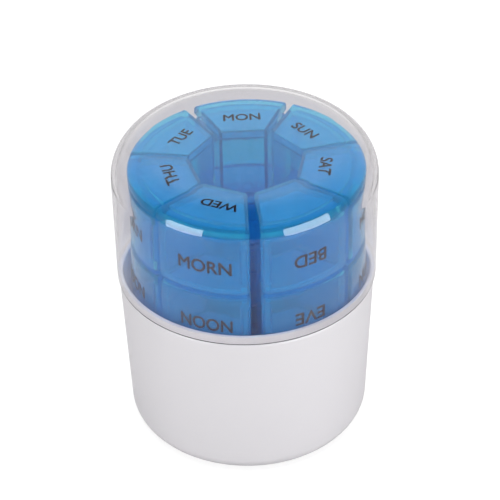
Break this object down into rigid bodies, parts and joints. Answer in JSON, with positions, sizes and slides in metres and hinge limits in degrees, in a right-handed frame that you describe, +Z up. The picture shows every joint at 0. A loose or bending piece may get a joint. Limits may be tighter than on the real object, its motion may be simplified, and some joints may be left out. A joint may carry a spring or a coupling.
{
  "type": "travel pill organizer",
  "caption": "Cylindrical travel pill organizer: a clear lift-off cover on a tapered cup, round a ring of wedge-shaped day boxes with lidded compartments.",
  "frame": {"origin": "centre of the cup's underside, on the surface that it stands on", "axes": "+Z up along the cup's axis; -Y is the front, where the gap between two day boxes shows"},
  "size_m": [0.087, 0.087, 0.107],
  "materials": {
    "white_plastic": "smooth satin injection-moulded white polypropylene",
    "clear_plastic": "clear polished polystyrene",
    "blue_plastic": "translucent blue polypropylene, glossy"
  },
  "bodies": {
    "cup": {"cup": "white_plastic"},
    "cover": {"clear_cover": "clear_plastic"},
    "box_mon": {"tray_mon": "blue_plastic", "lid_mon_bedtime": "blue_plastic", "lid_mon_evening": "blue_plastic", "lid_mon_noon": "blue_plastic", "lid_mon_morning": "blue_plastic"},
    "box_tue": {"tray_tue": "blue_plastic", "lid_tue_bedtime": "blue_plastic", "lid_tue_evening": "blue_plastic", "lid_tue_noon": "blue_plastic", "lid_tue_morning": "blue_plastic"},
    "box_thu": {"tray_thu": "blue_plastic", "lid_thu_bedtime": "blue_plastic", "lid_thu_evening": "blue_plastic", "lid_thu_noon": "blue_plastic", "lid_thu_morning": "blue_plastic"},
    "box_wed": {"tray_wed": "blue_plastic", "lid_wed_bedtime": "blue_plastic", "lid_wed_evening": "blue_plastic", "lid_wed_noon": "blue_plastic", "lid_wed_morning": "blue_plastic"},
    "box_fri": {"tray_fri": "blue_plastic", "lid_fri_bedtime": "blue_plastic", "lid_fri_evening": "blue_plastic", "lid_fri_noon": "blue_plastic", "lid_fri_morning": "blue_plastic"},
    "box_sat": {"tray_sat": "blue_plastic", "lid_sat_bedtime": "blue_plastic", "lid_sat_evening": "blue_plastic", "lid_sat_noon": "blue_plastic", "lid_sat_morning": "blue_plastic"},
    "box_sun": {"tray_sun": "blue_plastic", "lid_sun_bedtime": "blue_plastic", "lid_sun_evening": "blue_plastic", "lid_sun_noon": "blue_plastic", "lid_sun_morning": "blue_plastic"}
  },
  "joints": [
    {"name": "cover_lift", "type": "slide", "parent": "cup", "child": "cover", "axis": [0, 0, 1], "range_m": [0, 0.12]},
    {"name": "mon_box_lift", "type": "slide", "parent": "cup", "child": "box_mon", "axis": [0, 0, 1], "range_m": [0, 0.06]},
    {"name": "tue_box_lift", "type": "slide", "parent": "cup", "child": "box_tue", "axis": [0, 0, 1], "range_m": [0, 0.06]},
    {"name": "thu_box_lift", "type": "slide", "parent": "cup", "child": "box_thu", "axis": [0, 0, 1], "range_m": [0, 0.06]},
    {"name": "wed_box_lift", "type": "slide", "parent": "cup", "child": "box_wed", "axis": [0, 0, 1], "range_m": [0, 0.06]},
    {"name": "fri_box_lift", "type": "slide", "parent": "cup", "child": "box_fri", "axis": [0, 0, 1], "range_m": [0, 0.06]},
    {"name": "sat_box_lift", "type": "slide", "parent": "cup", "child": "box_sat", "axis": [0, 0, 1], "range_m": [0, 0.06]},
    {"name": "sun_box_lift", "type": "slide", "parent": "cup", "child": "box_sun", "axis": [0, 0, 1], "range_m": [0, 0.06]}
  ],
  "couplings": [
    {"joint": "mon_box_lift", "follows": "cover_lift", "ratio": 0.5},
    {"joint": "tue_box_lift", "follows": "cover_lift", "ratio": 0.5},
    {"joint": "thu_box_lift", "follows": "cover_lift", "ratio": 0.5},
    {"joint": "wed_box_lift", "follows": "cover_lift", "ratio": 0.5},
    {"joint": "fri_box_lift", "follows": "cover_lift", "ratio": 0.5},
    {"joint": "sat_box_lift", "follows": "cover_lift", "ratio": 0.5},
    {"joint": "sun_box_lift", "follows": "cover_lift", "ratio": 0.5}
  ]
}
